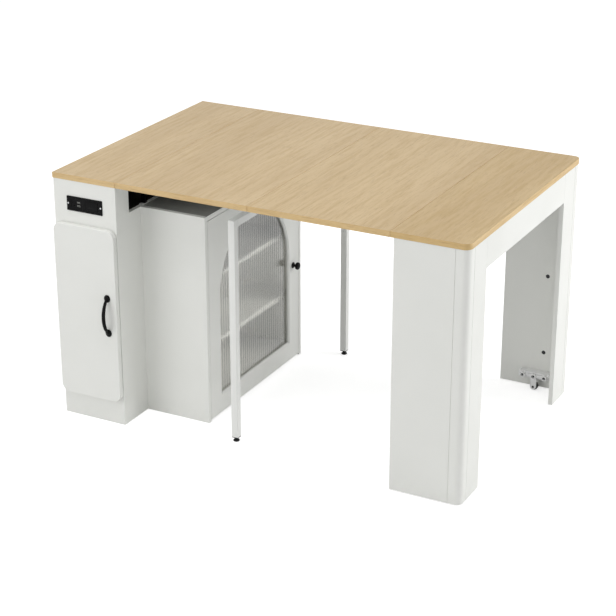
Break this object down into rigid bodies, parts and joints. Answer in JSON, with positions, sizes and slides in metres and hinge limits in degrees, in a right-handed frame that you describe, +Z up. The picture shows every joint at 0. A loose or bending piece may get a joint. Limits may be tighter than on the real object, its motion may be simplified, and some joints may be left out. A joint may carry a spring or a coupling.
{
  "type": "extending kitchen island",
  "caption": "Kitchen island with a fixed cabinet, an arched ribbed-glass door and a leg frame that rolls out on rails to take loose table leaves.",
  "frame": {"origin": "on the floor under the middle of the whole footprint, handle included, with the island extended", "axes": "+X the way the leg frame rolls out, +Y from the end-door side to the far side, +Z up"},
  "size_m": [1.534, 1.047, 0.9],
  "materials": {
    "white_board": "satin white laminate on board",
    "white_steel": "satin white powder coat",
    "oak_top": "light oak, matt lacquer",
    "oak_batten": "plain wood",
    "dark_board": "dark grey laminate on board",
    "black_plastic": "black, half gloss",
    "black_metal": "black, satin",
    "zinc": "zinc plated",
    "rail_steel": "drawn steel",
    "dark_fitting": "blackened steel",
    "ribbed_glass": "clear ribbed glass",
    "black_foot": "black",
    "grey_nylon": "grey nylon",
    "wheel_rubber": "dark grey, matt"
  },
  "bodies": {
    "cabinet": {"end_left_side": "white_board", "end_inner_side": "white_board", "outlet_fascia": "white_board", "plinth_rail": "white_board", "far_end_panel": "white_board", "end_bottom": "white_board", "end_ceiling": "white_board", "end_shelf_lower": "white_board", "end_shelf_upper": "white_board", "shelf_pins": "zinc", "fixed_top": "oak_top", "rail_bearer": "oak_batten", "rail_brackets": "black_metal", "fixed_rails": "rail_steel", "outlet_plate": "black_plastic", "socket_insert": "black_plastic", "outlet_housing": "black_plastic", "outlet_screws": "zinc", "recess_front_panel": "white_board", "recess_back_panel": "white_board", "recess_bottom": "white_board", "recess_toe_board": "white_board", "recess_top": "dark_board", "recess_top_lip": "white_board", "recess_shelf_lower": "white_board", "recess_shelf_upper": "white_board", "hinge_arms": "zinc"},
    "end_door": {"end_door": "white_board", "bow_handle": "black_metal", "handle_screws": "zinc", "end_hinge_cups": "zinc"},
    "glass_door": {"glass_door": "white_board", "fluted_glass": "ribbed_glass", "glazing_clips": "zinc", "door_knob": "black_metal", "knob_screw": "zinc", "glass_hinge_cups": "zinc"},
    "middle_frame": {"middle_leg_near": "white_steel", "middle_leg_far": "white_steel", "middle_crossbar": "white_steel", "middle_glides": "black_foot", "middle_saddles": "zinc", "first_rails": "rail_steel"},
    "second_stage": {"second_rails": "rail_steel"},
    "leg_frame": {"leg_top": "oak_top", "leg_front_near": "white_board", "leg_front_far": "white_board", "leg_corner_near": "white_board", "leg_corner_far": "white_board", "leg_narrow_near": "white_board", "leg_narrow_far": "white_board", "apron": "white_board", "leg_rails": "rail_steel", "caster_brackets": "grey_nylon", "caster_axles": "zinc", "leg_fittings": "dark_fitting"},
    "caster_near": {"caster_wheel_near": "wheel_rubber"},
    "caster_far": {"caster_wheel_far": "wheel_rubber"},
    "first_leaf": {"leaf_1": "oak_top"},
    "second_leaf": {"leaf_2": "oak_top"}
  },
  "joints": [
    {"name": "leg_slide", "type": "slide", "parent": "cabinet", "child": "leg_frame", "axis": [1, 0, 0], "range_m": [-1.014, 0]},
    {"name": "middle_slide", "type": "slide", "parent": "cabinet", "child": "middle_frame", "axis": [1, 0, 0], "range_m": [-0.3385, 0.0005]},
    {"name": "second_stage_slide", "type": "slide", "parent": "cabinet", "child": "second_stage", "axis": [1, 0, 0], "range_m": [-0.6765, 0.0005]},
    {"name": "first_leaf_lift", "type": "slide", "parent": "cabinet", "child": "first_leaf", "axis": [0, 0, 1], "range_m": [0, 0.36]},
    {"name": "second_leaf_lift", "type": "slide", "parent": "cabinet", "child": "second_leaf", "axis": [0, 0, 1], "range_m": [0, 0.36]},
    {"name": "end_door_hinge", "type": "hinge", "parent": "cabinet", "child": "end_door", "pos_m": [-0.763, -0.4885, 0.41], "axis": [0, 0, -1], "range_deg": [0, 110]},
    {"name": "glass_door_hinge", "type": "hinge", "parent": "cabinet", "child": "glass_door", "pos_m": [-0.259, -0.3005, 0.3795], "axis": [0, 0, -1], "range_deg": [0, 90]},
    {"name": "caster_near_spin", "type": "hinge", "parent": "leg_frame", "child": "caster_near", "pos_m": [0.655, -0.43, 0.015], "axis": [0, 1, 0], "continuous": true},
    {"name": "caster_far_spin", "type": "hinge", "parent": "leg_frame", "child": "caster_far", "pos_m": [0.655, 0.483, 0.015], "axis": [0, 1, 0], "continuous": true}
  ],
  "couplings": [
    {"joint": "middle_slide", "follows": "leg_slide", "ratio": 0.33333},
    {"joint": "second_stage_slide", "follows": "leg_slide", "ratio": 0.66667},
    {"joint": "first_leaf_lift", "follows": "leg_slide", "ratio": -0.35},
    {"joint": "second_leaf_lift", "follows": "leg_slide", "ratio": -0.35}
  ]
}
